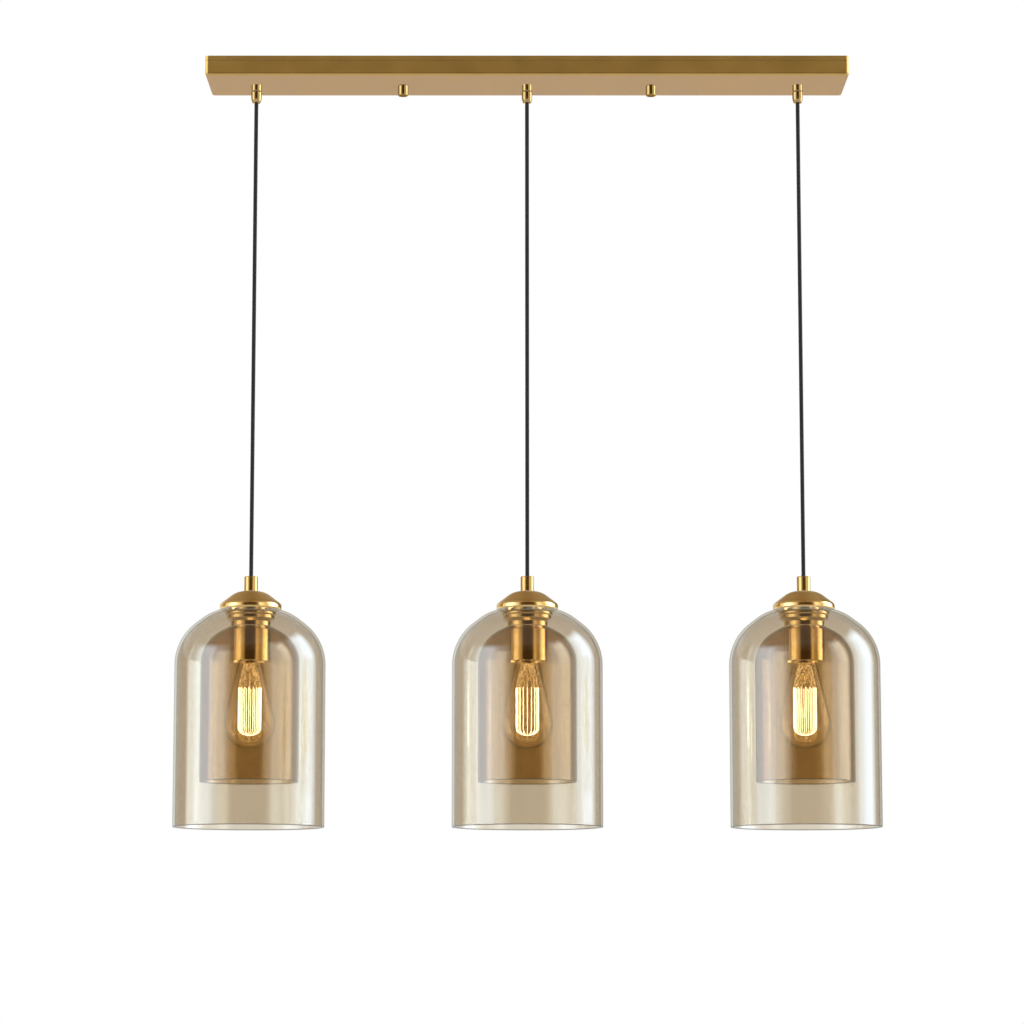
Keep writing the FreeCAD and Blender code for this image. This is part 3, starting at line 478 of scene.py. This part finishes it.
def make_materials():
    """The finish of every material slot in the record."""
    shade_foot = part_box("outer_glass_1")[0].z
    return {
        "satin_brass": metal(
            "satin_brass", CANOPY_BRASS, 0.42, BRUSHED_ALONG_X, BRUSHED_DEPTH, 0.05, 0.03,
            edge=CANOPY_EDGE, lines=CANOPY_PAINTED_SHADE_LINES,
        ),
        "polished_brass": metal("polished_brass", BRASS, 0.11, TURNED, TURNED_DEPTH, 0.04),
        "zinc_steel": metal("zinc_steel", (0.66, 0.67, 0.66), 0.32, CAST, CAST_DEPTH, 0.1, 0.15),
        "green_screw": metal("green_screw", (0.06, 0.34, 0.14), 0.35, CAST, CAST_DEPTH, 0.1, 0.15),
        "live_lead": moulded("live_lead", (0.16, 0.06, 0.03), 0.38),
        "neutral_lead": moulded("neutral_lead", (0.06, 0.14, 0.50), 0.38),
        "nylon": moulded("nylon", (0.82, 0.80, 0.74), 0.42),
        "bushing_rubber": moulded("bushing_rubber", (0.02, 0.02, 0.02), 0.6),
        "cord_black": braided("cord_black", (0.008, 0.008, 0.009)),
        "shade_glass": thin_glass(
            "shade_glass", SHADE_TINT, BELL_FILM_SHARE, SHADE_FILM, ripple=BELL_RIPPLE, foot=shade_foot,
        ),
        "clear_silicone": thin_glass("clear_silicone", SILICONE_TINT, 0.04, roughness=0.3),
        "phenolic": moulded("phenolic", (0.025, 0.018, 0.014), 0.4),
        "contact_brass": metal("contact_brass", (0.88, 0.72, 0.44), 0.22, TURNED, TURNED_DEPTH, 0.06),
        "bulb_glass": thin_glass(
            "bulb_glass", BULB_TINT, 0.08, roughness=0.02, ripple=0.0001, outline=(0.6, 0.3), edge_film=0.12,
        ),
        "filament": thin_glass("stem_glass", STEM_TINT, 0.08, roughness=0.05, ripple=0.0002),
    }


def dress_frame(materials):
    """Gives every CAD node its own finish, or the finish of its material slot. Some own finishes are lighter
    or darker copies of the polished brass: painted light and painted shade.
    """
    cap_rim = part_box("shade_cap_1")[0].z + CAP_RIM_HEIGHT
    inner_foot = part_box("inner_glass_1")[0].z
    # Painted shade on the nuts, grips, neck and collar and painted light on the cap and cup, by copies of the
    # polished brass.
    nuts = metal("nut_brass_painted_shade", NUT_BRASS_PAINTED_SHADE, 0.22, TURNED, TURNED_DEPTH, 0.04, edge=CUP_EDGE)
    own = {
        "canopy_cap_nuts": nuts,
        "grip_bodies": nuts,
        "grip_caps": nuts,
        "neck_tube": metal("neck_brass_painted_shade", NECK_BRASS_PAINTED_SHADE, 0.22, TURNED, TURNED_DEPTH, 0.04),
        "shade_cap": metal("cap_brass_painted_light", CAP_BRASS_PAINTED_LIGHT, 0.28, TURNED, TURNED_DEPTH, 0.03, rim=(cap_rim, 0.16)),
        "glass_collar": metal("collar_brass_painted_shade", COLLAR_BRASS_PAINTED_SHADE, 0.16, TURNED, TURNED_DEPTH, 0.04),
        "socket_cup": metal("cup_brass_painted_light", CUP_BRASS_PAINTED_LIGHT, 0.08, TURNED, TURNED_DEPTH, 0.03, edge=CUP_EDGE),
        "inner_glass": thin_glass(
            "inner_glass", INNER_TINT, BELL_FILM_SHARE, INNER_FILM, ripple=BELL_RIPPLE, foot=inner_foot,
            outline=(0.7, 0.1), edge_film=0.5,
        ),
    }
    for row in frame["record"]["subparts"]:
        name = row["node"]
        node = frame["nodes"][name]
        kind = name.rstrip("_123")
        finish = own.get(kind, materials[row["material_slot"]])
        node.visible_glossy = name.startswith(MIRRORED)
        node.data.materials.clear()
        node.data.materials.append(finish)


# Pieces


def add_piece(name, mesh, material, body):
    mesh.materials.append(material)
    piece = bpy.data.objects.new(name, mesh)
    bpy.context.scene.collection.objects.link(piece)
    mesh.polygons.foreach_set("use_smooth", [True] * len(mesh.polygons))
    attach(piece, body)
    return piece


def tube_rings(bm, points, radii, sides):
    """Adds a tube with closed ends to a bmesh, with a ring of vertices at each point."""
    rings = []
    count = len(points)
    reference = None
    for index, point in enumerate(points):
        before, after = points[max(index - 1, 0)], points[min(index + 1, count - 1)]
        tangent = (after - before).normalized()
        if reference is None:
            reference = tangent.orthogonal().normalized()
        reference = (reference - tangent * reference.dot(tangent)).normalized()
        across = tangent.cross(reference)
        ring = []
        for side in range(sides):
            turn = 2 * math.pi * side / sides
            offset = (reference * math.cos(turn) + across * math.sin(turn)) * radii[index]
            ring.append(bm.verts.new(point + offset))
        rings.append(ring)
    for first, second in zip(rings, rings[1:]):
        for side in range(sides):
            following = (side + 1) % sides
            bm.faces.new((first[side], first[following], second[following], second[side]))
    bm.faces.new(rings[0][::-1])
    bm.faces.new(rings[-1])
    return rings


def mesh_from(bm, name):
    bmesh.ops.recalc_face_normals(bm, faces=bm.faces)
    mesh = bpy.data.meshes.new(name)
    bm.to_mesh(mesh)
    bm.free()
    return mesh


CORD_DIAMETER = 5.0 * MM
CORD_SIDES = 24
CORD_RINGS = 160
CORD_END_ROUND = 0.6 * MM
YARNS_AROUND = 12


def build_cord(number, materials):
    """A straight braided cord from the grip's bushing down into the neck tube."""
    low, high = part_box(f"cord_{number}")
    x = (low.x + high.x) / 2
    radius = CORD_DIAMETER / 2
    length = high.z - low.z
    heights = [high.z - length * step / (CORD_RINGS - 1) for step in range(CORD_RINGS)]
    points = [Vector((x, 0, height)) for height in heights]
    radii = [radius] * CORD_RINGS
    radii[0] = radii[-1] = radius - CORD_END_ROUND
    bm = bmesh.new()
    rings = tube_rings(bm, points, radii, CORD_SIDES)
    uv = bm.loops.layers.uv.new("UVMap")
    yarn = math.pi * CORD_DIAMETER / YARNS_AROUND
    order = {vertex: (side, ring) for ring, verts in enumerate(rings) for side, vertex in enumerate(verts)}
    for face in bm.faces:
        sides = [order[loop.vert][0] for loop in face.loops]
        wraps = max(sides) - min(sides) > 1
        for loop in face.loops:
            side, ring = order[loop.vert]
            around = CORD_SIDES if wraps and side == 0 else side
            along = (heights[0] - heights[ring]) / yarn
            loop[uv].uv = (around * YARNS_AROUND / CORD_SIDES, along)
    mesh = mesh_from(bm, "braided_cord")
    cord = add_piece(f"braided_cord_{number}", mesh, materials["cord_black"], f"line_{number}")
    cord.visible_glossy = False
    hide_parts(f"cord_{number}")
    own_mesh(cord)


STRANDS = 30
STRAND_RADIUS = 0.42 * MM
STRAND_GROUPING = 0.40
STRAND_SIDES = 8
STRAND_STEPS = 6
CAGE_RADIUS = 14.0 * MM
CAGE_BELOW_BASE = 35.5 * MM
CAGE_HEIGHT = 50.0 * MM
CAGE_BOWL = 9.0 * MM
BOWL_STEPS = 8
BOWL_HUB_RADIUS = 1.5 * MM
BOWL_THINNING = 0.7
SUPPORT_RADIUS = 0.28 * MM
SUPPORT_SIDES = 6
SUPPORT_STEPS = 8
SUPPORT_TWIST_DEG = 75.0
SUPPORT_BELOW_BASE = 6 * MM
SUPPORT_START_RADIUS = 6 * MM
SUPPORT_SPREADING = 0.6
SUPPORT_ABOVE_STRAND = 1 * MM
CORE_BELOW_BASE = 20 * MM
CORE_RADIUS = 0.9 * MM
STEM_SIDES = 32
# Depth below the bulb's base and radius, in millimetres
STEM_PROFILE = ((1, 8.0), (6, 5.0), (12, 3.6), (24, 3.2), (27, 2.4))


def strand_points(x, top, turn):
    """One hairpin strand: down the cage's side and round to the cage's foot."""
    outward = Vector((math.cos(turn), math.sin(turn), 0))
    centre = Vector((x, 0, top))
    points = []
    for step in range(STRAND_STEPS + 1):
        points.append(centre + outward * CAGE_RADIUS + Vector((0, 0, -CAGE_HEIGHT * step / STRAND_STEPS)))
    for step in range(1, BOWL_STEPS + 1):
        angle = math.pi / 2 * step / BOWL_STEPS
        inward = CAGE_RADIUS * math.cos(angle)
        fall = CAGE_HEIGHT + CAGE_BOWL * math.sin(angle)
        points.append(centre + outward * max(inward, BOWL_HUB_RADIUS) + Vector((0, 0, -fall)))
    return points


def support_points(x, base, foot, turn, side):
    """A support wire: it winds down from the stem to a strand's top, and crosses its neighbours."""
    start = base - SUPPORT_BELOW_BASE
    points = []
    for step in range(SUPPORT_STEPS + 1):
        share = step / SUPPORT_STEPS
        angle = turn + side * math.radians(SUPPORT_TWIST_DEG) * (1 - share)
        out = SUPPORT_START_RADIUS + (CAGE_RADIUS - SUPPORT_START_RADIUS) * share ** SUPPORT_SPREADING
        height = start + (foot.z + SUPPORT_ABOVE_STRAND - start) * share
        points.append(Vector((x + out * math.cos(angle), out * math.sin(angle), height)))
    return points + [foot]


def build_filament(number, materials, glow, wire):
    """The squirrel-cage filament, its support wires and the glass stem, which replace the plain CAD cage."""
    low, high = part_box(f"bulb_filament_{number}")
    x = (low.x + high.x) / 2
    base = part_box(f"bulb_base_{number}")[0].z
    top = base - CAGE_BELOW_BASE
    strands = bmesh.new()
    supports = bmesh.new()
    strand_radii = [STRAND_RADIUS] * (STRAND_STEPS + 1) + [STRAND_RADIUS * BOWL_THINNING] * BOWL_STEPS
    support_radii = [SUPPORT_RADIUS] * (SUPPORT_STEPS + 2)
    for index in range(STRANDS):
        turn = 2 * math.pi * (index + 0.5) / STRANDS
        turn -= STRAND_GROUPING * math.sin(2 * turn)
        points = strand_points(x, top, turn)
        tube_rings(strands, points, strand_radii, STRAND_SIDES)
        side = index % 2 * 2 - 1
        tube_rings(supports, support_points(x, base, points[0], turn, side), support_radii, SUPPORT_SIDES)
    core = [Vector((x, 0, base - CORE_BELOW_BASE)), Vector((x, 0, top - CAGE_HEIGHT - CAGE_BOWL))]
    tube_rings(supports, core, [CORE_RADIUS] * 2, STRAND_SIDES)
    stem = bmesh.new()
    points = [Vector((x, 0, high.z))] + [Vector((x, 0, base - depth * MM)) for depth, _ in STEM_PROFILE]
    radii = [STEM_PROFILE[0][1] * MM] + [radius * MM for _, radius in STEM_PROFILE]
    tube_rings(stem, points, radii, STEM_SIDES)
    body = f"bulb_{number}"
    strand_piece = add_piece(f"glowing_strands_{number}", mesh_from(strands, "glowing_strands"), glow, body)
    support_piece = add_piece(f"support_wires_{number}", mesh_from(supports, "support_wires"), wire, body)
    stem_piece = add_piece(f"glass_stem_{number}", mesh_from(stem, "glass_stem"), materials["filament"], body)
    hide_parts(f"bulb_filament_{number}")


def main():
    scene = bpy.context.scene
    scene.view_settings.view_transform = "Standard"
    scene.cycles.max_bounces = 32
    scene.cycles.transmission_bounces = 28
    scene.cycles.glossy_bounces = 10
    scene.cycles.transparent_max_bounces = 24
    scene.cycles.caustics_reflective = False
    scene.cycles.caustics_refractive = False
    scene.cycles.use_denoising = True
    build_camera()
    build_world()
    build_floor()
    materials = make_materials()
    dress_frame(materials)
    glow = glowing("hot_filament", (0.95, 1.0, 1.0), 6.0, 9.0, (300, 300, 60))
    # Painted light: the support wires glow as if lit by the filament, though they are no lamp.
    wire = glowing("support_wire_painted_glow", (1.0, 0.82, 0.56), 0.1, 2.6, (500, 500, 500))
    for number in PENDANTS:
        build_cord(number, materials)
        build_filament(number, materials, glow, wire)


main()
